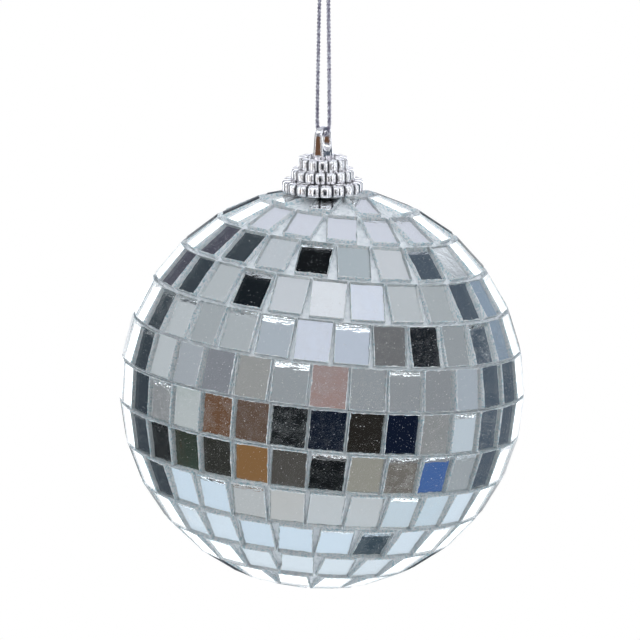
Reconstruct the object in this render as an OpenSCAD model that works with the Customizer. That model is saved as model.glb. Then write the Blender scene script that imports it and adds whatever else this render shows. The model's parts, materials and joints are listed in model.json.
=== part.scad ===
// Hanging mirror ball: rows of flat glass tiles glued round a foam ball, with a three-tier
// beaded crown, an eyelet and a cord loop. Millimetres, +Z up. The origin is the hang point
// inside the top of the cord loop, and the ball hangs below it.

/* [Ball] */
// Diameter across the middles of the tile faces
ball_d = 79.4; // [72:0.2:100]
// Lean of the tile rows' axis to the right of the hang axis, in degrees
row_lean = 5.2; // [0:0.1:6]
// Lean of the rows' axis away from the front, in degrees
row_back = 3.3; // [0:0.1:4]
// Thickness of the glue coat on the foam
glue_t = 0.4; // [0.2:0.1:1]

/* [Tiles] */
// Width of a tile along its row
tile_w = 6.95; // [5:0.05:8]
// Height of a row of tiles, in degrees of latitude
row_pitch = 12; // [11.5:0.1:12]
// Glass thickness
glass_t = 0.95; // [0.8:0.05:2]
// Thickness of the silvering and its paint
silver_t = 0.1; // [0.1:0.05:0.3]
// Gap between two tiles of a row at their faces
tile_gap = 0.4; // [0.3:0.05:1]
// Least gap between the backs of neighbouring tiles
back_gap = 0.16; // [0.1:0.02:0.4]
// Largest random tilt of a tile, in degrees
tile_tilt = 0.9; // [0:0.1:1]

/* [Crown] */
// Outer radius of the bottom tier over its beads
bottom_r = 8.1; // [7:0.05:10]
// Outer radius of the middle tier
middle_r = 6.25; // [5.6:0.05:6.6]
// Outer radius of the top tier
top_r = 5; // [4.4:0.05:5.4]
// Height of one tier
tier_h = 2.25; // [1.8:0.05:3]
// Wall between a tier's bead centres and the hollow inside
crown_wall = 0.8; // [0.6:0.1:1]
// Gap between the crown's rim and the round of the tile faces
rim_gap = 0.3; // [0.2:0.05:1]

/* [Eyelet] */
// Width of the eyelet plate
eye_w = 3.7; // [3.4:0.1:4.4]
// Thickness of the eyelet plate at the crown
eye_t = 2.2; // [1.6:0.1:2.4]
// Thickness of the plate at its top, which it tapers to
eye_tip_t = 1.4; // [1.2:0.1:1.6]
// Height of the plate above the crown
eye_h = 6.3; // [6:0.1:8]
// Width of the oval hole
eye_hole_w = 2.6; // [2.2:0.1:2.8]
// Thickness of the bar that the cord hangs on
eye_bar = 0.95; // [0.8:0.05:1.2]
// Turn of the eyelet's face from the front, in degrees
eye_turn = 57; // [0:1:90]
// Radius of the stem that is glued into the ball
stem_r = 2.2; // [2:0.1:2.6]
// Thickness of the glue round the stem
sleeve_t = 0.25; // [0.2:0.05:0.4]
// Depth of the stem below the crown's top plate
stem_l = 22; // [16:1:30]

/* [Cord] */
// Thickness of the cord
cord_d = 0.7; // [0.5:0.05:0.8]
// Size of the knot
knot_d = 2.6; // [2:0.1:3]

/* [Hidden] */
$fn = 64;
row_count = 13;
// Turn of each row's joints from the front, in degrees, from the top row down
row_turn = [4, -9.5, -1, 5, 1, 6.5, 7, -2.5, -2, 2, 4.5, 5.5, 10];
// Latitude of the joint above the widest row, and the rows' slow spread away from it
first_lat = 4.5;
spread_up = 0.12;
spread_down = 0.04;
tile_turn = 0.5;
// A row takes one more tile once this much of a tile's width is free
extra_tile = 0.2;
height_ease = 0.02;
glue_bond = 0.03;
fit_gap = 0.05;
// Clearance between the glue round the stem and a tile nibbled to pass it
nibble_gap = 0.1;

// Radii, from the tile faces inwards
face_r = ball_d / 2;
back_r = face_r - glass_t - silver_t;
glue_r = back_r - glue_bond;
foam_r = glue_r - glue_t;
tile_h = 2 * back_r * tan(row_pitch / 2) - back_gap - height_ease;
corner_r = norm([face_r, tile_w / 2, tile_h / 2]);

// Crown and eyelet heights, measured from the ball's centre
rim_z = sqrt(corner_r * corner_r - bottom_r * bottom_r) + rim_gap;
crown_top = rim_z + 3 * tier_h;
// The eyelet rises from a shallow dish in the crown's top
dish_t = 0.3;
plate_t = 0.8;
roof_t = 0.8;
bead_counts = [19, 17, 14];
bead_fill = 0.97;
// How far up its beads a tier's drum covers, as a share of their radius
drum_cover = 0.3;
seat_drop = 0.35;
seat_inset = 0.4;
// Rough depth of the beads, which the hollow inside stays clear of
bead_depth = 1;
top_bead_depth = 0.9;
eye_top = crown_top - dish_t + eye_h;
bar_low = eye_top - eye_bar;
hole_rise = 1.25;
hole_low = crown_top + hole_rise;
tip_r = eye_tip_t / 2;
// The plate's thickness at the bar's underside
bar_t = eye_tip_t + (eye_t - eye_tip_t) * (eye_top - tip_r - bar_low) / (eye_h - dish_t - tip_r);
stem_top = crown_top - dish_t - plate_t;
stem_low = stem_top - stem_l;
// The plate's foot, sunk in the stem
plate_low = stem_top - 0.5;

// Cord: the bight's bend round the eyelet bar
cord_gap = 0.2;
bend_r = bar_t / 2 + cord_gap + cord_d / 2;
bend_z = bar_low + cord_d / 2;
// The two strands start this far above the eyelet, so that it turns under them
strand_rise = 0.6;
cord_sides = 8;
knot_z = 1.2;
// The front strand from the bight up to the knot: distance from the eyelet's middle, height
strand_points = [
    [1.4, -45.1], [1.39, -42.5], [1.36, -40], [1.32, -37], [1.27, -34], [1.22, -31],
    [1.17, -28], [1.12, -25.5], [1.06, -23], [1.0, -20.5], [0.95, -18], [0.9, -15.5],
    [0.85, -13], [0.8, -10.5], [0.76, -8], [0.72, -5.5], [0.68, -3.5], [0.6, -1.8],
    [0.48, -0.4], [0.38, 0.8]
];
bight_end = strand_points[0][1];
hang_h = eye_top + strand_rise - bight_end;
// A loose end from the knot upwards
tail_points = [[0.3, 1.8], [0.5, 2.9], [0.9, 4.2], [1.5, 5.6], [2.2, 7], [3.1, 8.2]];

glass_names = [for (i = [1:row_count]) str("glass_row_", i < 10 ? "0" : "", i)];
silver_names = [for (i = [1:row_count]) str("silver_row_", i < 10 ? "0" : "", i)];

function joint_lat(k) =
    first_lat + row_pitch * k + (k > 0 ? spread_up : -spread_down) * k * k;

// The row's latitude, counted from the top row, which is row 1
function row_lat(i) = (joint_lat(6 - i) + joint_lat(7 - i)) / 2;

function tiles_in_row(i) =
    floor(2 * PI * face_r * cos(row_lat(i)) / (tile_w + tile_gap) + extra_tile);

// Width that fits between neighbours at the tile's edge nearer the pole
function room_in_row(i) =
    2 * back_r * cos(abs(row_lat(i)) + row_pitch / 2) * tan(180 / tiles_in_row(i)) - back_gap;

function width_in_row(i) = min(tile_w, room_in_row(i));

// A repeatable random number between -amount and amount for one tile
function stray(i, n, key, amount) = rands(-amount, amount, 1, i * 1000 + n * 10 + key)[0];

module from_ball_centre() {
    translate([0, 0, -hang_h]) children();
}

// Stands what follows on the axis of the tile rows
module on_row_axis() {
    from_ball_centre() rotate([-row_back, 0, 0]) rotate([0, row_lean, 0]) children();
}

// A flat slab whose back lies at the given radius, on the tile's own place in its row
module tile(i, n, width, low, thick) {
    lon = row_turn[i - 1] + (n + 0.5) * 360 / tiles_in_row(i);
    on_row_axis()
        rotate([0, 0, lon])
        rotate([90 - row_lat(i), 0, 0])
        translate([0, 0, back_r])
        rotate([stray(i, n, 1, tile_tilt), stray(i, n, 2, tile_tilt), stray(i, n, 3, tile_turn)])
        translate([-width / 2, -tile_h / 2, low])
        cube([width, tile_h, thick]);
}

// The top row leans over the stem, so its tiles are nibbled where the stem's glue would meet them
module nibbled(i) {
    if (i == 1)
        difference() {
            children();
            from_ball_centre() translate([0, 0, stem_low])
                cylinder(r = stem_r + sleeve_t + nibble_gap, h = stem_l);
        }
    else
        children();
}

module glass_row(i) {
    color([0.86, 0.93, 0.93, 0.4])
        for (n = [0:tiles_in_row(i) - 1]) nibbled(i) tile(i, n, width_in_row(i), silver_t, glass_t);
}

module silver_row(i) {
    color("silver")
        for (n = [0:tiles_in_row(i) - 1]) nibbled(i) tile(i, n, width_in_row(i), 0, silver_t);
}

// The single tile that closes the bottom of the rows, inside the lowest row's joint
module base_tile(low, thick) {
    room = back_r * cos(joint_lat(6 - row_count)) - back_gap;
    width = min(tile_w, 2 * sqrt(room * room - tile_h * tile_h / 4));
    on_row_axis()
        translate([-width / 2, -tile_h / 2, -back_r - low - thick])
        cube([width, tile_h, thick]);
}

module glass_base() {
    color([0.86, 0.93, 0.93, 0.4]) base_tile(silver_t, glass_t);
}

module silver_base() {
    color("silver") base_tile(0, silver_t);
}

// The socket for the stem, with the glue round it
module socket_space(gap) {
    translate([0, 0, stem_low - gap]) cylinder(r = stem_r + gap, h = stem_l + gap);
}

module foam_core() {
    color("ivory") from_ball_centre() difference() {
        sphere(r = foam_r);
        socket_space(sleeve_t);
    }
}

module glue_coat() {
    color("whitesmoke") from_ball_centre() difference() {
        sphere(r = glue_r);
        sphere(r = foam_r);
        socket_space(sleeve_t);
    }
}

// Glue sleeve in the socket; it stands proud of the ball, and the crown is set down on it
module peg_glue() {
    sleeve_top = rim_z + tier_h - roof_t;
    color("whitesmoke") from_ball_centre() difference() {
        socket_space(sleeve_t);
        translate([0, 0, stem_low]) cylinder(r = stem_r, h = stem_l + sleeve_t);
        translate([0, 0, sleeve_top]) cylinder(r = bottom_r, h = stem_l);
    }
}

// Outline of half a round-topped bead, to be turned about its own axis
module bead_outline(bead_r) {
    square([bead_r, tier_h - bead_r]);
    intersection() {
        translate([0, tier_h - bead_r]) circle(r = bead_r);
        square([bead_r, tier_h]);
    }
}

// One tier: a ring of upright beads round a plain drum, with a seat for what stands on it
module tier(outer, bead_count, low, seat_r) {
    share = sin(180 / bead_count);
    bead_r = bead_fill * outer * share / (1 + share);
    ring_r = outer - bead_r;
    translate([0, 0, low]) {
        cylinder(r = ring_r + drum_cover * bead_r, h = tier_h - seat_drop);
        translate([0, 0, tier_h - 2 * seat_drop]) cylinder(r = seat_r, h = 2 * seat_drop);
        for (n = [0:bead_count - 1])
            rotate([0, 0, (n + 0.5) * 360 / bead_count])
            translate([ring_r, 0, 0])
            rotate_extrude() bead_outline(bead_r);
    }
}

module tier_hollow(outer, low, height) {
    translate([0, 0, low]) cylinder(r = outer, h = height);
}

module crown_cap() {
    middle_z = rim_z + tier_h;
    top_z = middle_z + tier_h;
    color("lightgray") from_ball_centre() difference() {
        union() {
            tier(bottom_r, bead_counts[0], rim_z, middle_r - seat_inset);
            tier(middle_r, bead_counts[1], middle_z, top_r - seat_inset);
            tier(top_r, bead_counts[2], top_z, eye_w / 2 + seat_inset);
        }
        tier_hollow(bottom_r - bead_depth - crown_wall, rim_z - fit_gap, tier_h - roof_t + fit_gap);
        tier_hollow(middle_r - bead_depth - crown_wall, rim_z, 2 * tier_h - roof_t);
        tier_hollow(top_r - top_bead_depth - crown_wall, rim_z, stem_top - rim_z);
        rotate([0, 0, eye_turn])
            translate([-eye_w / 2 - fit_gap, -eye_t / 2 - fit_gap, rim_z])
            cube([eye_w + 2 * fit_gap, eye_t + 2 * fit_gap, 4 * tier_h]);
    }
}

// Front outline of the eyelet plate, with its oval hole
module eye_outline() {
    arch_z = eye_top - eye_w / 2;
    hole_r = eye_hole_w / 2;
    difference() {
        union() {
            translate([-eye_w / 2, plate_low]) square([eye_w, arch_z - plate_low]);
            translate([0, arch_z]) circle(r = eye_w / 2);
        }
        translate([0, bar_low - hole_r]) circle(r = hole_r);
        translate([0, hole_low + hole_r]) circle(r = hole_r);
        translate([-hole_r, hole_low + hole_r]) square([eye_hole_w, bar_low - hole_low - eye_hole_w]);
    }
}

// Side outline of the plate: it tapers to a round top, so that it turns under the cord
module eye_side() {
    round_z = eye_top - tip_r;
    polygon([[-eye_t / 2, crown_top], [-tip_r, round_z], [tip_r, round_z], [eye_t / 2, crown_top]]);
    translate([-eye_t / 2, plate_low]) square([eye_t, crown_top - plate_low]);
    translate([0, round_z]) circle(r = tip_r);
}

module eyelet_peg() {
    color("lightgray") from_ball_centre() rotate([0, 0, eye_turn]) {
        intersection() {
            rotate([90, 0, 0]) linear_extrude(height = 2 * eye_t, center = true) eye_outline();
            rotate([90, 0, 90]) linear_extrude(height = 2 * eye_w, center = true) eye_side();
        }
        translate([0, 0, stem_low]) cylinder(r = stem_r, h = stem_l);
    }
}

// A round tube along points in the plane across the eyelet's face: [distance, height]
module cord_tube(points) {
    last = len(points) - 1;
    along = [for (k = [0:last]) points[min(k + 1, last)] - points[max(k - 1, 0)]];
    across = [for (d = along) [-d[1], d[0]] / norm(d)];
    rings = [for (k = [0:last]) for (s = [0:cord_sides - 1])
        let (turn = 360 * (s + 0.5) / cord_sides, r = cord_d / 2)
        [r * cos(turn), points[k][0] + r * sin(turn) * across[k][0],
         points[k][1] + r * sin(turn) * across[k][1]]];
    walls = [for (k = [0:last - 1]) for (s = [0:cord_sides - 1])
        let (t = (s + 1) % cord_sides, a = k * cord_sides, b = a + cord_sides)
        [a + t, b + t, b + s, a + s]];
    ends = [[for (s = [cord_sides - 1:-1:0]) s],
            [for (s = [0:cord_sides - 1]) last * cord_sides + s]];
    rotate([0, 0, eye_turn]) polyhedron(points = rings, faces = concat(walls, ends), convexity = 4);
}

module cord_bight() {
    middle = bend_z - hang_h;
    strand_at = strand_points[0][0];
    bend = [for (turn = [0:-15:-180]) [-bend_r * cos(turn), middle + bend_r * sin(turn)]];
    color("gainsboro") cord_tube(concat([[-strand_at, bight_end]], bend, [[strand_at, bight_end]]));
}

module cord_strand(side) {
    color("gainsboro") cord_tube([for (p = strand_points) [side * p[0], p[1]]]);
}

module cord_knot() {
    color("gainsboro") translate([0, 0, knot_z]) sphere(d = knot_d);
}

module cord_tail(side) {
    color("gainsboro") cord_tube([for (p = tail_points) [side * p[0], p[1]]]);
}

foam_core();
glue_coat();
glass_row(1);  // glass_row_01
glass_row(2);  // glass_row_02
glass_row(3);  // glass_row_03
glass_row(4);  // glass_row_04
glass_row(5);  // glass_row_05
glass_row(6);  // glass_row_06
glass_row(7);  // glass_row_07
glass_row(8);  // glass_row_08
glass_row(9);  // glass_row_09
glass_row(10);  // glass_row_10
glass_row(11);  // glass_row_11
glass_row(12);  // glass_row_12
glass_row(13);  // glass_row_13
glass_base();
silver_row(1);  // silver_row_01
silver_row(2);  // silver_row_02
silver_row(3);  // silver_row_03
silver_row(4);  // silver_row_04
silver_row(5);  // silver_row_05
silver_row(6);  // silver_row_06
silver_row(7);  // silver_row_07
silver_row(8);  // silver_row_08
silver_row(9);  // silver_row_09
silver_row(10);  // silver_row_10
silver_row(11);  // silver_row_11
silver_row(12);  // silver_row_12
silver_row(13);  // silver_row_13
silver_base();
crown_cap();
eyelet_peg();
peg_glue();
cord_bight();
cord_strand(-1);  // cord_strand_front
cord_strand(1);  // cord_strand_back
cord_knot();
cord_tail(-1);  // cord_tail_front
cord_tail(1);  // cord_tail_back
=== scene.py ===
import json

import bpy
import numpy as np
from mathutils import Matrix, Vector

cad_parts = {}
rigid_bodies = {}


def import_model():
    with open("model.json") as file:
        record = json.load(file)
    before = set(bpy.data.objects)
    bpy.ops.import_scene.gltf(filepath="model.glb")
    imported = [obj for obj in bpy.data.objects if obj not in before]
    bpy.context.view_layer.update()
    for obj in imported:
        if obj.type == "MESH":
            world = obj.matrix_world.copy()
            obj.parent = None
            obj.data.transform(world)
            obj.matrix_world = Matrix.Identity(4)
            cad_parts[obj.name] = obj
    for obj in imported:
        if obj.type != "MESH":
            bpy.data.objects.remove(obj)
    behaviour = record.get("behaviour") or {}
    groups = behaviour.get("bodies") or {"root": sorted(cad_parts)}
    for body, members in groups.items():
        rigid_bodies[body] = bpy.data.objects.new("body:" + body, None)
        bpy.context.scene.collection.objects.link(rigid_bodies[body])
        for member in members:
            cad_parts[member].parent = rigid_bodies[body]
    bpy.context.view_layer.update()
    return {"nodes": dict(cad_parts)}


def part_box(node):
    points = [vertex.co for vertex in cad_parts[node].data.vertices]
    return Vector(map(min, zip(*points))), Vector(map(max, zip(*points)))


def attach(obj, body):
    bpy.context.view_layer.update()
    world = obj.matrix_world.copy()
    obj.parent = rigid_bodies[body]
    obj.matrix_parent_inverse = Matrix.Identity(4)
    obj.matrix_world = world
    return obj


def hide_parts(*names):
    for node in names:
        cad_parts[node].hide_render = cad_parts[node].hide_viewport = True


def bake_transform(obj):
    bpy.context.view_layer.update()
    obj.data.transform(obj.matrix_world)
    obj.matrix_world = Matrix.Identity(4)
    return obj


for thing in list(bpy.data.objects):
    bpy.data.objects.remove(thing, do_unlink=True)

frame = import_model()
nodes = frame["nodes"]
mm = 0.001
deg = np.pi / 180


def boxOf(node):
    low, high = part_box(node)
    return np.array(low), np.array(high)


coatLow, coatHigh = boxOf("glue_coat")
ballCentre = (coatLow + coatHigh) / 2


camera = {
    "distance": 0.68,
    "elevation": 13.7,
    "lens": 193.2,
    "lookUp": 1.12,  # degrees that the aim lies above the ball's centre
    "lookAside": 0.038,
    "roll": 0.3,
}


def makeCamera():
    data = bpy.data.cameras.new("camera")
    data.lens = camera["lens"]
    data.sensor_width = 36
    data.clip_start = 0.01
    data.clip_end = 50
    eye = bpy.data.objects.new("camera", data)
    bpy.context.scene.collection.objects.link(eye)
    lift = camera["elevation"] * deg
    spot = ballCentre + camera["distance"] * np.array([0, -np.cos(lift), np.sin(lift)])
    turn = (
        Matrix.Rotation(camera["lookAside"] * deg, 4, "Z")
        @ Matrix.Rotation((90 - camera["elevation"] + camera["lookUp"]) * deg, 4, "X")
        @ Matrix.Rotation(camera["roll"] * deg, 4, "Z")
    )
    eye.matrix_world = Matrix.Translation(spot) @ turn
    bpy.context.scene.camera = eye
    bpy.context.scene.view_settings.view_transform = "Standard"


makeCamera()
print("camera ready")


def addPiece(name, spots, faces, materials, faceMaterials=None, smooth=True):
    mesh = bpy.data.meshes.new(name)
    mesh.from_pydata(spots.tolist(), [], faces)
    for material in materials:
        mesh.materials.append(material)
    if faceMaterials is not None:
        mesh.polygons.foreach_set("material_index", np.asarray(faceMaterials, np.int32))
    mesh.polygons.foreach_set("use_smooth", np.full(len(faces), smooth))
    mesh.update()
    piece = bpy.data.objects.new(name, mesh)
    bpy.context.scene.collection.objects.link(piece)
    return piece


def setUv(piece, along, around, name="surface"):
    # one UV corner per face corner, taken from per-vertex values
    layer = piece.data.uv_layers.new(name=name)
    corners = np.empty(len(piece.data.loops), np.int32)
    piece.data.loops.foreach_get("vertex_index", corners)
    layer.data.foreach_set("uv", np.stack([along[corners], around[corners]], 1).ravel().astype(np.float32))


def ringFaces(copies, rings, sides, closedAlong=False):
    # quads between neighbouring rings of every copy, then one many-sided face over each end
    copy, ring, side = np.meshgrid(
        np.arange(copies), np.arange(rings if closedAlong else rings - 1), np.arange(sides), indexing="ij"
    )
    base = copy * rings * sides
    nextRing, nextSide = (ring + 1) % rings, (side + 1) % sides
    quads = np.stack(
        [
            base + ring * sides + side,
            base + ring * sides + nextSide,
            base + nextRing * sides + nextSide,
            base + nextRing * sides + side,
        ],
        -1,
    ).reshape(-1, 4)
    faces = quads.tolist()
    if not closedAlong:
        starts = np.arange(copies)[:, None] * rings * sides
        lows = starts + np.arange(sides)[::-1]
        highs = starts + (rings - 1) * sides + np.arange(sides)
        faces += lows.tolist() + highs.tolist()
    return faces, len(quads)


def facingOut(spots, faces):
    # turns every face over if the first copy's enclosed volume comes out negative
    total = 0.0
    for face in faces:
        a = spots[face[0]]
        fan = spots[face[1:]]
        corner = np.broadcast_to(a, fan[:-1].shape)
        total += float(np.einsum("ij,ij->", np.cross(fan[:-1], fan[1:]), corner))
    return faces if total > 0 else [face[::-1] for face in faces]


def sweep(path, widths, heights, sides, lead=(0, 0, 1.0)):
    # rings carried along a path: at each point an oval of the given half sizes, across and lead-wise
    path = np.asarray(path, float)
    along = np.gradient(path, axis=0)
    along /= np.linalg.norm(along, axis=1, keepdims=True)
    lead = np.broadcast_to(np.asarray(lead, float), path.shape)
    across = np.cross(along, lead)
    across /= np.linalg.norm(across, axis=1, keepdims=True)
    up = np.cross(across, along)
    turn = np.arange(sides) / sides * 2 * np.pi
    widths, heights = np.broadcast_to(widths, len(path)), np.broadcast_to(heights, len(path))
    return (
        path[:, None]
        + across[:, None] * (widths[:, None] * np.cos(turn))[..., None]
        + up[:, None] * (heights[:, None] * np.sin(turn))[..., None]
    )


def resample(points, count):
    # a smooth curve through given points, by a Catmull-Rom run between neighbours
    points = np.asarray(points, float)
    padded = np.concatenate([2 * points[:1] - points[1:2], points, 2 * points[-1:] - points[-2:-1]])
    place = np.linspace(0, len(points) - 1 - 1e-9, count)
    k = place.astype(int)
    t = (place - k)[:, None]
    p0, p1, p2, p3 = padded[k], padded[k + 1], padded[k + 2], padded[k + 3]
    dense = 0.5 * (
        2 * p1
        + (p2 - p0) * t
        + (2 * p0 - 5 * p1 + 4 * p2 - p3) * t**2
        + (3 * p1 - p0 - 3 * p2 + p3) * t**3
    )
    steps = np.r_[0, np.cumsum(np.linalg.norm(np.diff(dense, axis=0), axis=1))]
    even = np.linspace(0, steps[-1], count)
    return np.stack([np.interp(even, steps, dense[:, i]) for i in range(points.shape[1])], 1), steps[-1]


class Flow:
    # a node socket that takes part in ordinary arithmetic
    def __init__(self, tree, socket):
        self.tree, self.socket = tree, socket

    def calc(self, operation, *values):
        inputs = dict(enumerate([self, *values]))
        return nodeOf(self.tree, "ShaderNodeMath", {"operation": operation}, inputs)

    def __add__(self, other):
        return self.calc("ADD", other)

    def __radd__(self, other):
        return self.calc("ADD", other)

    def __sub__(self, other):
        return self.calc("SUBTRACT", other)

    def __rsub__(self, other):
        return nodeOf(self.tree, "ShaderNodeMath", {"operation": "SUBTRACT"}, {0: other, 1: self})

    def __mul__(self, other):
        return self.calc("MULTIPLY", other)

    def __rmul__(self, other):
        return self.calc("MULTIPLY", other)

    def above(self, edge, soft):
        # 0 below edge - soft, 1 above edge + soft, smooth between
        return nodeOf(
            self.tree,
            "ShaderNodeMapRange",
            {"interpolation_type": "SMOOTHSTEP"},
            {"Value": self, "From Min": edge - soft, "From Max": edge + soft},
        )

    def below(self, edge, soft):
        return 1 - self.above(edge, soft)


def nodeOf(tree, kind, settings=None, sockets=None, output=0):
    node = tree.nodes.new(kind)
    for key, value in (settings or {}).items():
        setattr(node, key, value)
    for key, value in (sockets or {}).items():
        if isinstance(value, Flow):
            tree.links.new(value.socket, node.inputs[key])
        elif value is not None:
            node.inputs[key].default_value = value
    return Flow(tree, node.outputs[output]) if len(node.outputs) else None


def mixColour(tree, share, first, second):
    def full(colour):
        return colour if isinstance(colour, Flow) else (*colour, 1)

    return nodeOf(
        tree,
        "ShaderNodeMix",
        {"data_type": "RGBA"},
        {0: share, 6: full(first), 7: full(second)},
        output=2,
    )


def newMaterial(name):
    material = bpy.data.materials.new(name)
    material.use_nodes = True
    tree = material.node_tree
    tree.nodes.clear()
    return material, tree


def objectPlace(tree, scale=1.0):
    place = nodeOf(tree, "ShaderNodeTexCoord", output=3)
    return nodeOf(tree, "ShaderNodeMapping", {}, {"Vector": place, "Scale": (scale, scale, scale)})


def noise(tree, place, scale, detail=2.0, rough=0.5, output=0):
    return nodeOf(
        tree,
        "ShaderNodeTexNoise",
        {},
        {"Vector": place, "Scale": scale, "Detail": detail, "Roughness": rough},
        output=output,
    )


def bump(tree, height, strength, distance, under=None):
    return nodeOf(
        tree,
        "ShaderNodeBump",
        {},
        {"Height": height, "Strength": strength, "Distance": distance, "Normal": under},
    )


def finishMaterial(material, tree, **sockets):
    named = {key.replace("_", " "): value for key, value in sockets.items()}
    shader = nodeOf(tree, "ShaderNodeBsdfPrincipled", {}, named)
    nodeOf(tree, "ShaderNodeOutputMaterial", {}, {"Surface": shader})
    return material


def clearGlass():
    material, tree = newMaterial("clearGlass")
    place = objectPlace(tree, 1000)
    dust = noise(tree, place, 9, 3).above(0.66, 0.05)
    return finishMaterial(
        material,
        tree,
        Base_Color=(0.97, 0.99, 0.99, 1),
        Roughness=dust * 0.12,
        IOR=1.5,
        Transmission_Weight=1.0,
    )


def cutGlass():
    # a snapped edge: pale blue-green, with clear ribs and frosted bites that catch the light
    material, tree = newMaterial("cutGlassEdge")
    place = objectPlace(tree, 1000)
    chips = noise(tree, place, 2.6, 3, 0.6)
    fine = noise(tree, place, 5, 2, 0.6)
    frost = chips.above(0.46, 0.03)
    colour = mixColour(tree, frost, (0.5, 0.7, 0.77), (1.0, 1.0, 1.0))
    return finishMaterial(
        material,
        tree,
        Base_Color=colour,
        Roughness=0.03 + fine * 0.1,
        IOR=1.5,
        Transmission_Weight=0.3,
        Normal=bump(tree, chips + fine * 0.5, 1.0, 0.00008),
    )


def silvering():
    material, tree = newMaterial("silvering")
    place = nodeOf(tree, "ShaderNodeUVMap", {"uv_map": "surface"})
    ownPlace = nodeOf(tree, "ShaderNodeUVMap", {"uv_map": "onTile"})
    onTile = nodeOf(tree, "ShaderNodeSeparateXYZ", {}, {"Vector": ownPlace}, output=1)
    bowed = nodeOf(tree, "ShaderNodeAttribute", {"attribute_name": "bowed"}, output=2)
    smear = nodeOf(tree, "ShaderNodeAttribute", {"attribute_name": "smear"}, output=2)
    dust = noise(tree, place, 3.0, 2, 0.6).above(0.69 - smear * 0.02, 0.02)
    cloud = noise(tree, place, 0.45, 4, 0.6)
    haze = cloud.above(0.5, 0.14) * smear
    lay = {"Vector": place, "Rotation": (0, 0, 0.7), "Scale": (0.3, 4, 1)}
    streak = nodeOf(tree, "ShaderNodeMapping", {}, lay)
    scratch = noise(tree, streak, 2.2, 2, 0.6).above(0.68, 0.03) * smear
    marks = dust.calc("MAXIMUM", scratch * 0.6)
    # the upper end of some tiles bows forward, and picks up a lamp from higher up
    ripple = nodeOf(tree, "ShaderNodeMapping", {}, {"Vector": place, "Scale": (0.35, 1.6, 1)})
    end = (onTile + noise(tree, ripple, 1.0, 2) * 0.3).calc("MAXIMUM", 0.78) - 0.78
    bow = end * end * bowed * -1.9
    colour = mixColour(tree, cloud, (0.9, 0.92, 0.92), (0.96, 0.97, 0.97))
    return finishMaterial(
        material,
        tree,
        Base_Color=mixColour(tree, marks, colour, (0.95, 0.96, 0.97)),
        Metallic=1 - marks * 0.8 - haze * 0.1,
        Roughness=0.01 + haze * 0.09 + marks * 0.3,
        Normal=bump(tree, cloud * 0.004 + bow, 1.0, 0.001),
    )


def backPaint():
    material, tree = newMaterial("backPaint")
    place = objectPlace(tree, 1000)
    flaw = noise(tree, place, 2.4, 3)
    colour = mixColour(tree, flaw, (0.3, 0.32, 0.34), (0.52, 0.54, 0.55))
    surface = bump(tree, flaw, 0.4, 0.0001)
    return finishMaterial(material, tree, Base_Color=colour, Roughness=0.5, Normal=surface)


def platedPlastic():
    # bright plating over moulded plastic, with painted shade: dull and near black in the grooves between
    # beads
    material, tree = newMaterial("platedPlastic")
    place = objectPlace(tree, 1000)
    groove = nodeOf(tree, "ShaderNodeAttribute", {"attribute_name": "groove"}, output=2)
    rounded = nodeOf(tree, "ShaderNodeBevel", {"samples": 6}, {"Radius": 0.00055})
    pebble = noise(tree, place, 0.7, 2)
    stain = noise(tree, place, 0.5, 2).above(0.55, 0.2)
    # painted shade: the plating's colour goes near black and duller in the grooves between beads
    grooveShade = (groove + pebble * 0.25).above(0.5, 0.22)
    clean = mixColour(tree, stain * 0.5, (0.9, 0.89, 0.91), (0.74, 0.71, 0.73))
    return finishMaterial(
        material,
        tree,
        Base_Color=mixColour(tree, grooveShade, clean, (0.06, 0.06, 0.075)),
        Metallic=1.0,
        Roughness=0.03 + pebble * 0.05 + grooveShade * 0.2,
        Normal=bump(tree, pebble, 0.6, 0.00009, under=rounded),
    )


def setGlue():
    material, tree = newMaterial("setGlue")
    place = objectPlace(tree, 1000)
    lumps = noise(tree, place, 1.1, 4)
    colour = mixColour(tree, lumps.above(0.5, 0.2), (0.8, 0.84, 0.86), (0.95, 0.97, 0.98))
    return finishMaterial(
        material,
        tree,
        Base_Color=colour,
        Roughness=0.15 + lumps * 0.3,
        Normal=bump(tree, lumps, 0.6, 0.0003),
    )


def beadFoam():
    material, tree = newMaterial("beadFoam")
    place = objectPlace(tree, 1000)
    cells = nodeOf(tree, "ShaderNodeTexVoronoi", {}, {"Vector": place, "Scale": 0.45})
    colour = mixColour(tree, cells, (0.95, 0.95, 0.93), (0.85, 0.85, 0.83))
    surface = bump(tree, cells, 0.4, 0.0003)
    return finishMaterial(material, tree, Base_Color=colour, Roughness=0.7, Normal=surface)


def metallicYarn():
    material, tree = newMaterial("metallicYarn")
    spot = nodeOf(tree, "ShaderNodeTexCoord", output=2)
    lay = {"Vector": spot, "Scale": 1.2, "Distortion": 1.5, "Detail": 2.0}
    fibres = nodeOf(tree, "ShaderNodeTexWave", {}, lay)
    place = objectPlace(tree, 1000)
    tint = noise(tree, place, 1.5, 2)
    colour = mixColour(tree, tint.above(0.5, 0.2), (0.24, 0.22, 0.3), (0.66, 0.66, 0.72))
    return finishMaterial(
        material,
        tree,
        Base_Color=colour,
        Metallic=0.85,
        Roughness=0.3 + fibres * 0.2,
        Normal=bump(tree, fibres, 0.5, 0.00005),
    )


glassMaterial, edgeMaterial, silverMaterial = clearGlass(), cutGlass(), silvering()
paintMaterial, platedMaterial, glueMaterial = backPaint(), platedPlastic(), setGlue()
foamMaterial, yarnMaterial = beadFoam(), metallicYarn()
print("materials ready")


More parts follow.
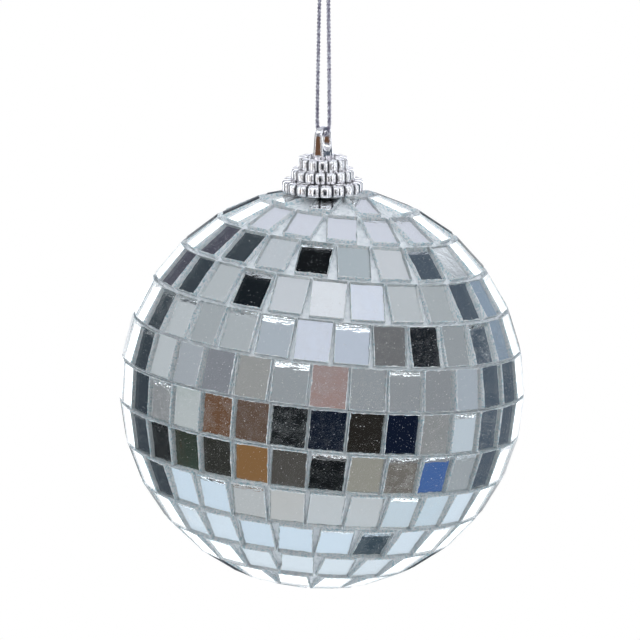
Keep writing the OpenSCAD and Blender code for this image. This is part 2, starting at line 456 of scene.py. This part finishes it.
cord = {
    "width": 0.9,
    "yarn": 0.32,
    "sway": 0.34,  # half the braid's width between yarn middles
    "depth": 0.13,
    "repeat": 2.2,
    "stepsPerMm": 9,
    "yarnSides": 8,
    "backLean": 60,  # how far the back strand's flat side is turned, in degrees
    "turn": 57,  # the eyelet's turn from the front
    "bendRadius": 1.27,
    "bendMiddle": -46.3,
    "strand": [
        [1.4, -45.1], [1.39, -42.5], [1.36, -40], [1.32, -37], [1.27, -34], [1.22, -31],
        [1.17, -28], [1.12, -25.5], [1.06, -23], [1.0, -20.5], [0.95, -18], [0.9, -15.5],
        [0.85, -13], [0.8, -10.5], [0.76, -8], [0.72, -5.5], [0.68, -3.5], [0.6, -1.8],
        [0.48, -0.4], [0.38, 0.8],
    ],
    "tail": [[0.3, 1.8], [0.5, 2.9], [0.9, 4.2], [1.5, 5.6], [2.2, 7], [3.1, 8.2]],
    "knotHeight": 1.2,
    "knotSize": 2.6,
    "knotSteps": 120,
    "knotSides": 10,
    "knotCord": (0.36, 0.3),
}


def turnedOut(flat):
    # places [distance from the eyelet's middle, height] in the upright plane that the cord hangs in
    turn = cord["turn"] * deg
    flat = np.asarray(flat, float) * mm
    return np.stack([-flat[:, 0] * np.sin(turn), flat[:, 0] * np.cos(turn), flat[:, 1]], 1)


def braid(name, flat, material, phase=0.0, lean=0.0):
    # Three yarns cross in a flat plait: each sways across the cord as a sine of its length
    # and nods at twice that rate, a third of a turn apart. lean turns the flat side.
    guess = np.linalg.norm(np.diff(np.asarray(flat, float), axis=0), axis=1).sum()
    path, length = resample(turnedOut(flat), int(guess * cord["stepsPerMm"]))
    turn = cord["turn"] * deg
    wide = np.array([np.cos(turn), np.sin(turn), 0.0])
    along = np.gradient(path, axis=0)
    along /= np.linalg.norm(along, axis=1, keepdims=True)
    thin = np.cross(along, wide)
    roll = lean * deg * np.ones(len(path))
    side = wide * np.cos(roll)[:, None] + thin * np.sin(roll)[:, None]
    front = np.cross(side, along)
    s = np.linspace(0, length / mm, len(path))
    spots, faces, uvAlong, uvAround = [], [], [], []
    sides = cord["yarnSides"]
    for k in range(3):
        turns = 2 * np.pi * (s / cord["repeat"] + k / 3 + phase)
        middle = (
            path
            + side * (cord["sway"] * mm * np.sin(turns))[:, None]
            + front * (cord["depth"] * mm * np.sin(2 * turns))[:, None]
        )
        ring = sweep(middle, cord["yarn"] * mm / 2, cord["yarn"] * mm / 2, sides, lead=front)
        start = sum(len(block) for block in spots)
        part, _ = ringFaces(1, len(ring), sides)
        faces += [[v + start for v in face] for face in part]
        spots.append(ring.reshape(-1, 3))
        uvAlong.append(np.repeat(s, sides))
        uvAround.append(np.tile(np.arange(sides) / sides, len(ring)))
    spots = np.concatenate(spots)
    piece = addPiece(name, spots, facingOut(spots, faces), [material])
    setUv(piece, np.concatenate(uvAlong), np.concatenate(uvAround))
    return piece, path, length


def mirrored(flat):
    return [[-x, z] for x, z in flat]


def makeCord():
    frontStrand, frontPath, frontLength = braid("cordStrandFront", mirrored(cord["strand"]), yarnMaterial)
    backStrand, backPath, backLength = braid(
        "cordStrandBack", cord["strand"], yarnMaterial, phase=0.5, lean=cord["backLean"]
    )
    arc = [
        [-cord["bendRadius"] * np.cos(t * deg), cord["bendMiddle"] - cord["bendRadius"] * np.sin(t * deg)]
        for t in range(0, 181, 15)
    ]
    apart, ends = cord["strand"][0]
    bend = [[-apart, ends]] + arc + [[apart, ends]]
    bight, _, _ = braid("cordBend", bend, yarnMaterial)
    tailFront, _, _ = braid("cordTailFront", mirrored(cord["tail"]), yarnMaterial, phase=0.2)
    tailBack, _, _ = braid("cordTailBack", cord["tail"], yarnMaterial, phase=0.7)
    # an overhand knot: a three-lobed knot curve with the cord's own thickness
    sides = cord["knotSides"]
    t = np.linspace(0, 2 * np.pi, cord["knotSteps"], endpoint=False)
    reach = cord["knotSize"] / 2 * mm / 4.2
    knotPath = reach * np.stack(
        [np.sin(t) + 2 * np.sin(2 * t), np.cos(t) - 2 * np.cos(2 * t), -1.6 * np.sin(3 * t)], 1
    )
    knotPath += np.array([0, 0, cord["knotHeight"] * mm])
    wide, thin = cord["knotCord"]
    closed = np.concatenate([knotPath, knotPath[:2]])
    rings = sweep(closed, wide * mm, thin * mm, sides, lead=[0.3, 0.2, 1.0])[:-2]
    spots = rings.reshape(-1, 3)
    faces, _ = ringFaces(1, len(rings), sides, closedAlong=True)
    knot = addPiece("cordKnot", spots, facingOut(spots, faces), [yarnMaterial])
    along = np.arange(len(rings)) * 0.1
    setUv(knot, np.repeat(along, sides), np.tile(np.arange(sides) / sides, len(rings)))
    for piece in (frontStrand, backStrand):
        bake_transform(piece)
    for piece in (knot, tailFront, tailBack):
        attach(piece, "cord")
    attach(bight, "bight")
    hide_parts("cord_strand_front")
    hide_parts("cord_strand_back")
    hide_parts("cord_bight")
    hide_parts("cord_knot")
    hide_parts("cord_tail_front")
    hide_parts("cord_tail_back")


makeCord()
print("cord ready")


tiles = {
    "rowCount": 13,
    "sideSteps": 11,
    "sink": 0.03,  # how far the glass reaches into the silvering, mm
    "arris": 0.06,  # width broken off along the face's edges
    "footHeight": 0.06,
    "footInset": 0.02,
    "topInset": 0.01,
    "chipIn": 0.15,  # share of a chip's width at the side's top
    "chipDown": 0.7,  # share of a chip's width that it reaches down
    "waver": 0.015,  # how far a cut edge strays from straight
    "skew": 0.07,  # how far a snapped side leans
    "chipShare": 0.3,  # share of the outline's points that are chipped
    "chip": 0.16,
    "silverThick": 0.1,
    "silverInset": 0.05,
    "silverChip": 0.08,
    "bowedShare": 0.3,
    "glueRise": 0.35,  # how far glue is squeezed up the sides
    "glueProud": 0.06,
    "glueFoot": [0.3, -0.75],  # inset and level of the bed's foot, from the tile's back
    "glueUnder": [0.2, -0.004],  # and of the bed's edge under the tile
    "glueBulge": -0.05,
    "glueCling": 0.005,  # how far the lip reaches into the tile's side
}


def tileFrames(node):
    # Sorts a row's corners into boxes by following its triangles, then reads each box off its own
    # corners: the four furthest out are the face, the nearest of them lies across the width
    # and the next along the height.
    mesh = nodes[node].data
    spots = np.empty(len(mesh.vertices) * 3, np.float32)
    mesh.vertices.foreach_get("co", spots)
    corners, which = np.unique(spots.reshape(-1, 3).astype(float).round(7), axis=0, return_inverse=True)
    links = np.empty(len(mesh.loops), np.int32)
    mesh.loops.foreach_get("vertex_index", links)
    links = which.ravel()[links].reshape(-1, 3)
    label = np.arange(len(corners))
    for _ in range(6):
        lowest = label[links].min(1)
        for k in range(3):
            np.minimum.at(label, links[:, k], lowest)
    boxes = corners[np.argsort(label, kind="stable")].reshape(-1, 8, 3)
    middle = boxes.mean(1)
    boxes = boxes[np.argsort(np.arctan2(middle[:, 0], -middle[:, 1]))]
    out = boxes.mean(1) - ballCentre
    out /= np.linalg.norm(out, axis=1, keepdims=True)
    height = np.einsum("nij,nj->ni", boxes - ballCentre, out)
    boxes = np.take_along_axis(boxes, np.argsort(height, axis=1)[:, ::-1, None], 1)
    face = boxes[:, :4]
    reach = np.linalg.norm(face - face[:, :1], axis=2)
    face = np.take_along_axis(face, np.argsort(reach, axis=1)[..., None], 1)
    depth = face.mean(1) - boxes[:, 4:].mean(1)
    width, rise = face[:, 1] - face[:, 0], face[:, 2] - face[:, 0]
    rise *= np.where(rise[:, 2:] < 0, -1, 1)
    turned = np.einsum("ij,ij->i", np.cross(width, rise), depth)
    width *= np.where(turned < 0, -1, 1)[:, None]
    return face.mean(1), width, rise, depth


def outlineOf(steps):
    # even steps along the four sides of a square from -1 to 1, with each corner counted once
    run = np.linspace(-1, 1, steps, endpoint=False)
    ones = np.ones(steps)
    return np.stack([np.concatenate([run, ones, -run, -ones]), np.concatenate([-ones, run, ones, -run])], 1)


def slabs(frames, inset, level, fromBack):
    # Stacks of rings round each tile's outline. inset, level: metres for every tile, ring and
    # point; a level counts from the back where fromBack is 1 and from the face where it is 0.
    faceMiddle, width, rise, depth = frames
    plan = outlineOf(tiles["sideSteps"])
    half = np.stack([np.linalg.norm(width, axis=1), np.linalg.norm(rise, axis=1)], 1) / 2
    thick = np.linalg.norm(depth, axis=1)
    unit = [width / half[:, :1] / 2, rise / half[:, 1:] / 2, depth / thick[:, None]]
    edge = half[:, None, None, :] * plan - np.sign(plan) * (np.abs(plan) > 0.999) * inset[..., None]
    height = level - thick[:, None, None] * np.asarray(fromBack)[None, :, None]
    spots = (
        faceMiddle[:, None, None]
        + edge[..., :1] * unit[0][:, None, None]
        + edge[..., 1:] * unit[1][:, None, None]
        + height[..., None] * unit[2][:, None, None]
    )
    return spots.reshape(-1, 3)


def tileUv(piece, rings):
    # the place on the tile in millimetres, shifted by a random amount for each tile
    steps = tiles["sideSteps"]
    plan = outlineOf(steps)
    copies = len(piece.data.vertices) // (rings * 4 * steps)
    shift = np.random.default_rng(3).uniform(0, 400, (copies, 1, 1, 2))
    spots = np.broadcast_to(plan * [3.5, 4.0] + shift, (copies, rings, 4 * steps, 2)).reshape(-1, 2)
    setUv(piece, spots[:, 0], spots[:, 1])
    spots = np.broadcast_to(plan, (copies, rings, 4 * steps, 2)).reshape(-1, 2)
    setUv(piece, spots[:, 0], spots[:, 1], "onTile")


def glassRow(node, rng):
    # back, foot of the side, top of the side, face: the side leans a little, as it was snapped,
    # and chips are bitten out of the face's outline
    frames = tileFrames(node)
    count, sides = len(frames[0]), 4 * tiles["sideSteps"]
    shape = (count, 1, sides)
    side = np.repeat(np.arange(4), tiles["sideSteps"])
    lean = rng.uniform(0, tiles["skew"], (count, 4))[:, side][:, None]
    chipped = (rng.random(shape) < tiles["chipShare"]) * rng.uniform(0.3, 1, shape) * tiles["chip"]
    stray = np.abs(rng.normal(0, tiles["waver"], (count, 4, sides)))
    inset = np.concatenate(
        [
            lean + tiles["footInset"],
            lean,
            0 * lean + tiles["topInset"] + tiles["chipIn"] * chipped,
            0 * lean + tiles["arris"] + chipped,
        ],
        1,
    )
    level = np.concatenate(
        [
            np.full(shape, -tiles["sink"]),
            np.full(shape, tiles["footHeight"]),
            np.full(shape, -tiles["arris"]) - tiles["chipDown"] * chipped,
            np.zeros(shape),
        ],
        1,
    )
    spots = slabs(frames, (inset + stray) * mm, level * mm, [1, 1, 0, 0])
    faces, quadCount = ringFaces(count, 4, sides)
    kinds = np.r_[np.ones(quadCount, int), np.zeros(2 * count, int)]
    piece = addPiece(pieceName(node), spots, faces, [glassMaterial, edgeMaterial], kinds, smooth=False)
    tileUv(piece, 4)
    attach(piece, "ball")
    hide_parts(node)
    return frames


def silverRow(node, frames, rng):
    # the silvering lies on the glass's back and ends just inside it, in a ragged line; its own
    # back and sides are paint
    faceMiddle, width, rise, depth = frames
    thick = depth / np.linalg.norm(depth, axis=1, keepdims=True) * tiles["silverThick"] * mm
    frames = faceMiddle - depth, width, rise, thick
    count, sides = len(frames[0]), 4 * tiles["sideSteps"]
    ragged = tiles["silverInset"] + tiles["silverChip"] * rng.random((count, 1, sides)) ** 3
    inset = np.concatenate([0 * ragged + 0.01, ragged], 1)
    level = np.zeros((count, 2, sides))
    spots = slabs(frames, inset * mm, level, [1, 0])
    faces, quadCount = ringFaces(count, 2, sides)
    kinds = np.r_[np.ones(quadCount + count, int), np.zeros(count, int)]
    piece = addPiece(pieceName(node), spots, faces, [silverMaterial, paintMaterial], kinds, smooth=False)
    tileUv(piece, 2)
    smear = piece.data.attributes.new("smear", "FLOAT", "FACE")
    ownSmear = rng.random(count) ** 2
    smear.data.foreach_set(
        "value", np.r_[np.repeat(ownSmear, sides), ownSmear, ownSmear].astype(np.float32)
    )
    bowed = piece.data.attributes.new("bowed", "FLOAT", "FACE")
    ownBow = (rng.random(count) < tiles["bowedShare"]) * rng.uniform(0.4, 1, count)
    bowed.data.foreach_set("value", np.r_[np.repeat(ownBow, sides), ownBow, ownBow].astype(np.float32))
    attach(piece, "ball")
    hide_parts(node)
    return frames


def glueBeds(rows, rng):
    # Under each tile, a bed from the ball up to the tile's back, with a lip squeezed up its sides:
    # foot, bulge, top of the lip, inside of the lip, and the edge of the bed under the tile.
    frames = [np.concatenate(part) for part in zip(*rows)]
    count, sides = len(frames[0]), 4 * tiles["sideSteps"]
    shape = (count, 1, sides)
    rise = tiles["glueRise"] * rng.random(shape) ** 1.5 + 0.03
    proud = tiles["glueProud"] * rng.uniform(0.6, 1, shape)
    even = np.zeros(shape)
    foot, under, cling = tiles["glueFoot"], tiles["glueUnder"], tiles["glueCling"]
    inset = [even + foot[0], -proud, -proud * 0.6, even - cling, even - cling, even + under[0]]
    level = [even + foot[1], even + tiles["glueBulge"], rise, rise, even, even + under[1]]
    inset, level = np.concatenate(inset, 1), np.concatenate(level, 1)
    spots = slabs(frames, inset * mm, level * mm, [1] * 6)
    faces, _ = ringFaces(count, 6, sides)
    piece = addPiece("glueBeds", spots, faces, [glueMaterial])
    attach(piece, "ball")


def pieceName(node):
    words = node.split("_")
    return words[0] + "".join(word.title() for word in words[1:])


def makeTiles():
    rowNames = [f"row_{i:02d}" for i in range(1, tiles["rowCount"] + 1)] + ["base"]
    backs = []
    for seed, name in enumerate(rowNames):
        frames = glassRow("glass_" + name, np.random.default_rng(100 + seed))
        backs.append(silverRow("silver_" + name, frames, np.random.default_rng(200 + seed)))
    glueBeds(backs, np.random.default_rng(7))


makeTiles()


crown = {
    "tiers": [(8.1, 19), (6.25, 17), (5.0, 14)],  # radius in mm and bead count
    "tierHeight": 2.25,
    "groove": 0.3,  # how much of a bead's radius is left in the groove between beads
    "shoulder": 0.75,
    "steps": 16,
    "roundSteps": 15,
    "hole": 1.0,
    "beadFill": 0.97,
    "grooveTop": 0.35,  # share of a bead's rise that is left in the groove
    "seatDrop": 0.3,
    "footDraw": 0.93,
    "footHeight": 0.12,
}


def scallopedTier(outer, beads):
    # A tier as one surface: round its plan it bulges bead by bead, as the square root of one less
    # the cube of the distance from the bead's middle; up its side it goes straight, rounds over
    # the bead's top as a flattened half circle, and drops to the seat of the next tier.
    share = np.sin(np.pi / beads)
    bead = crown["beadFill"] * outer * share / (1 + share)
    middle = outer - bead
    turn = np.arange(beads * crown["steps"]) / (beads * crown["steps"])
    away = np.abs(2 * ((turn * beads) % 1 - 0.5))
    lobe = np.sqrt(np.clip(1 - away**3, 0, 1))
    reach = bead * (crown["groove"] + (1 - crown["groove"]) * lobe)
    rise = crown["shoulder"] * bead * (crown["grooveTop"] + (1 - crown["grooveTop"]) * lobe)
    foot = crown["tierHeight"] - crown["shoulder"] * bead
    seat = foot - crown["seatDrop"]
    over = np.linspace(0, np.pi, crown["roundSteps"])[:, None]
    squash = np.sign(np.cos(over)) * np.abs(np.cos(over)) ** 0.7
    radius = np.concatenate(
        [[middle + reach * crown["footDraw"]], [middle + reach], [middle + reach], middle + reach * squash]
        + [[middle - reach], [0 * reach + crown["hole"]], [0 * reach + crown["hole"]]]
    )
    flat = np.ones_like(reach)
    height = np.concatenate(
        [[0 * flat], [crown["footHeight"] * flat], [foot * 0.5 * flat], foot + rise * np.sin(over) ** 0.8]
        + [[seat * flat], [seat * flat], [0 * flat]]
    )
    turn = turn * 2 * np.pi
    spots = np.stack([radius * np.cos(turn), radius * np.sin(turn), height], -1)
    return spots, np.broadcast_to(1 - lobe, radius.shape)


def makeCrown():
    low = boxOf("crown_cap")[0][2]
    spots, faces, grooves, count = [], [], [], 0
    for k, (outer, beads) in enumerate(crown["tiers"]):
        tier, groove = scallopedTier(outer, beads)
        tier = tier.reshape(-1, 3) * mm + [0, 0, low + k * crown["tierHeight"] * mm]
        rings = len(groove)
        part, _ = ringFaces(1, rings, len(tier) // rings, closedAlong=True)
        part = facingOut(tier, part)
        faces += (np.array(part) + count).tolist()
        count += len(tier)
        spots.append(tier)
        grooves.append(groove.ravel())
    spots = np.concatenate(spots)
    piece = addPiece("crownCap", spots, faces, [platedMaterial])
    layer = piece.data.attributes.new("groove", "FLOAT", "POINT")
    layer.data.foreach_set("value", np.concatenate(grooves).astype(np.float32))
    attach(piece, "ball")
    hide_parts("crown_cap")


makeCrown()
for name, finish in (
    ("glue_coat", glueMaterial),
    ("peg_glue", glueMaterial),
    ("foam_core", foamMaterial),
    ("eyelet_peg", platedMaterial),
):
    nodes[name].material_slots[0].material = finish
print("tiles and crown ready")


# The studio that the mirrors see, as a dome that no camera sees. Cards on it are written as
# [azimuth, elevation, half width, half height, softness, shade], in degrees; azimuth 0 is the
# front and 90 the right, and a shade is as it looks on a screen.
studio = {
    "floorHeight": -0.6,
    "radius": 3.0,
    "cell": 1.5,
    "white": 2.2,
    "lamp": 2.8,
    "lampTint": (0.97, 1.0, 1.03),
    "whiteFrom": 139,  # azimuth where the white back of the room starts
    "floorReach": 2.5,
    "floorSides": 64,
    "byElevation": [
        [-90, (0.84, 0.9, 0.96)],
        [-68, (0.82, 0.88, 0.94)],
        [-58, (0.74, 0.74, 0.74)],
        [-42, (0.7, 0.74, 0.78)],
        [-25, (0.56, 0.56, 0.56)],
        [0, (0.55, 0.56, 0.58)],
        [25, (0.62, 0.64, 0.66)],
        [45, (0.72, 0.74, 0.76)],
        [62, (0.82, 0.83, 0.86)],
        [78, (0.66, 0.7, 0.73)],
        [83, (0.1, 0.11, 0.12)],
        [90, (0.08, 0.09, 0.1)],
    ],
    # narrow lamps that fall between the mirrors' own sights and light edges and beads
    "lamps": [
        [2, 50, 56, 4, 1],
        [-5, 26, 44, 3.5, 1],
        [-75, 12, 3, 32, 1],
        [-97, 0, 3, 52, 1],
        [-54, 2, 3, 26, 1],
        [-30, 2, 2.5, 26, 1],
        [14.5, -2, 2, 20, 1],
        [36, -2, 2.5, 26, 1],
        [59, 0, 3.5, 46, 1],
        [83, 0, 3, 56, 1],
        [107, 8, 2, 46, 1],
        [5, -48, 52, 3, 1],
    ],
    "cards": [
        # above
        [180, 48, 41, 23, 4, (0.84, 0.85, 0.9)],
        [-177, 32, 6, 4, 1, (0.64, 0.67, 0.69)],
        [180, -62, 41, 14, 3, (0.88, 0.92, 0.96)],
        [5, 64, 18, 7, 3, (0.89, 0.9, 0.93)],
        [45, 58, 13, 7, 3, (0.85, 0.87, 0.93)],
        [-82, 59, 9, 7, 2, (0.1, 0.12, 0.14)],
        [-5, 38, 11, 7, 2, (0.82, 0.84, 0.9)],
        [20, 38, 11, 7, 3, (0.74, 0.77, 0.83)],
        [46, 32, 10, 6, 2, (0.44, 0.44, 0.45)],
        [67, 26, 9, 5, 2, (0.12, 0.13, 0.15)],
        [-35, 40, 12, 7, 2, (0.68, 0.71, 0.75)],
        # at the ball's own height
        [-66, 14, 10, 6, 2, (0.52, 0.53, 0.56)],
        [-43, 17, 11, 6, 2, (0.6, 0.6, 0.6)],
        [4, 10, 9, 4, 3, (0.62, 0.5, 0.48)],
        [93, -3, 9, 6, 2, (0.66, 0.69, 0.73)],
        [-85, 10, 10, 6, 2, (0.65, 0.67, 0.7)],
        # below: the dark things round the camera
        [-82, -8, 9, 5, 1, (0.72, 0.74, 0.75)],
        [-82, -5, 9, 1, 1, (0.2, 0.42, 0.3)],
        [-62, -7, 10, 6, 1, (0.42, 0.31, 0.24)],
        [-41, -8, 10, 6, 1, (0.38, 0.31, 0.27)],
        [-18, -9, 11, 7, 2, (0.1, 0.11, 0.12)],
        [4, -12, 11, 6, 2, (0.06, 0.09, 0.15)],
        [26, -13, 10, 6, 2, (0.15, 0.14, 0.13)],
        [46, -15, 10, 6, 2, (0.07, 0.1, 0.17)],
        [93, -18, 11, 7, 2, (0.75, 0.79, 0.83)],
        [-88, -25, 10, 7, 2, (0.2, 0.21, 0.2)],
        [-91, -25, 2, 2, 1, (0.75, 0.42, 0.2)],
        [-86, -28, 3, 2, 1, (0.25, 0.42, 0.34)],
        [-68, -28, 10, 7, 2, (0.2, 0.2, 0.19)],
        [-43, -33, 12, 6, 2, (0.52, 0.39, 0.26)],
        [-21, -34, 10, 6, 2, (0.31, 0.3, 0.29)],
        [3, -35, 12, 6, 2, (0.08, 0.09, 0.1)],
        [29, -38, 10, 6, 2, (0.58, 0.57, 0.54)],
        [52, -37, 10, 6, 2, (0.44, 0.42, 0.4)],
        [76, -35, 8, 6, 1, (0.28, 0.4, 0.62)],
        [-98, -42, 26, 8, 3, (0.82, 0.88, 0.94)],
        [116, -71, 14, 4, 2, (0.25, 0.3, 0.34)],
        # tall dark gaps at both sides
        [-128, 10, 10, 45, 2, (0.24, 0.27, 0.3)],
        [-112, -22, 8, 9, 2, (0.1, 0.11, 0.12)],
        [-146, 24, 6, 11, 3, (0.3, 0.3, 0.35)],
        [123, 6, 15, 40, 2, (0.32, 0.36, 0.41)],
        [137, 6, 5, 9, 1, (0.56, 0.62, 0.69)],
        [-108, 14, 3, 14, 1, (0.74, 0.76, 0.78)],
        [-122, -50, 18, 10, 2, (0.86, 0.91, 0.96)],
        [122, -48, 18, 12, 2, (0.86, 0.91, 0.96)],
        [88, -52, 20, 6, 2, (0.79, 0.85, 0.9)],
        # behind, out of the front's sight
        [180, -8, 11, 20, 4, (0.25, 0.27, 0.3)],
    ],
}


def onScreen(shade):
    # display shade to light
    shade = np.asarray(shade, float)
    return np.where(shade <= 0.04, shade / 12.92, ((shade + 0.055) / 1.055) ** 2.4)


def step(value, edge, soft):
    # 0 below edge - soft and 1 above edge + soft, with a smooth cubic between
    t = np.clip((value - edge + soft) / (2 * soft), 0, 1)
    return t * t * (3 - 2 * t)


def studioLight(azimuth, elevation):
    # the shade by elevation, white round the back, then each card and lamp over what is there
    stops = np.array([stop[0] for stop in studio["byElevation"]])
    shades = onScreen([stop[1] for stop in studio["byElevation"]])
    light = np.stack([np.interp(elevation, stops, shades[:, k]) for k in range(3)], -1)
    tint = np.array(studio["lampTint"])
    behind = step(np.abs(azimuth), studio["whiteFrom"], 2) * step(-np.abs(elevation), -80, 6)
    light += (tint * studio["white"] - light) * behind[..., None]

    def lay(glow, at, height, halfWidth, halfHeight, soft):
        aside = np.abs((azimuth - at + 180) % 360 - 180)
        above = np.abs(elevation - height)
        share = (1 - step(aside, halfWidth, soft)) * (1 - step(above, halfHeight, soft))
        return light + (glow - light) * share[..., None]

    for *place, shade in studio["cards"]:
        light = lay(onScreen(shade), *place)
    for place in studio["lamps"]:
        light = lay(tint * studio["lamp"], *place)
    return light


def makeDome():
    # a ball round the object on a grid of azimuth and elevation, each point with its own light
    across, up = int(360 / studio["cell"]), int(180 / studio["cell"]) + 1
    elevation, azimuth = np.meshgrid(
        np.linspace(-89.9, 89.9, up), np.linspace(-180, 180, across, endpoint=False), indexing="ij"
    )
    flat = np.cos(elevation * deg)
    spots = studio["radius"] * np.stack(
        [flat * np.sin(azimuth * deg), -flat * np.cos(azimuth * deg), np.sin(elevation * deg)], -1
    ).reshape(-1, 3)
    faces, _ = ringFaces(1, up, across)
    material, tree = newMaterial("studioLight")
    shade = nodeOf(tree, "ShaderNodeAttribute", {"attribute_name": "light"})
    glow = nodeOf(tree, "ShaderNodeEmission", {}, {"Color": shade})
    nodeOf(tree, "ShaderNodeOutputMaterial", {}, {"Surface": glow})
    material.cycles.emission_sampling = "NONE"
    dome = addPiece("studioDome", spots + ballCentre, faces, [material])
    light = studioLight(azimuth, elevation).reshape(-1, 3)
    layer = dome.data.attributes.new("light", "FLOAT_COLOR", "POINT")
    layer.data.foreach_set("color", np.c_[light, np.ones(len(light))].ravel().astype(np.float32))
    dome.visible_camera = False


def makeFloor():
    # a wide pale floor that glows as brightly as the white room round it, seen by the camera alone
    material, tree = newMaterial("paleFloor")
    glow = nodeOf(tree, "ShaderNodeEmission", {}, {"Color": (1, 1, 1, 1), "Strength": 1.0})
    nodeOf(tree, "ShaderNodeOutputMaterial", {}, {"Surface": glow})
    sides, reach = studio["floorSides"], studio["floorReach"]
    turn = np.arange(sides) / sides * 2 * np.pi
    height = np.full(sides, studio["floorHeight"])
    rim = np.stack([reach * np.cos(turn), reach * np.sin(turn), height], -1)
    floor = addPiece("floor", rim, [list(range(sides))], [material], smooth=False)
    for kind in ("visible_glossy", "visible_transmission", "visible_diffuse", "visible_shadow"):
        setattr(floor, kind, False)
    world = bpy.data.worlds.new("whiteRoom")
    world.use_nodes = True
    bpy.context.scene.world = world
    tree = world.node_tree
    tree.nodes.clear()
    light = nodeOf(tree, "ShaderNodeBackground", {}, {"Color": (1, 1, 1, 1), "Strength": 1.0})
    nodeOf(tree, "ShaderNodeOutputWorld", {}, {"Surface": light})


makeDome()
makeFloor()
print("surroundings ready")
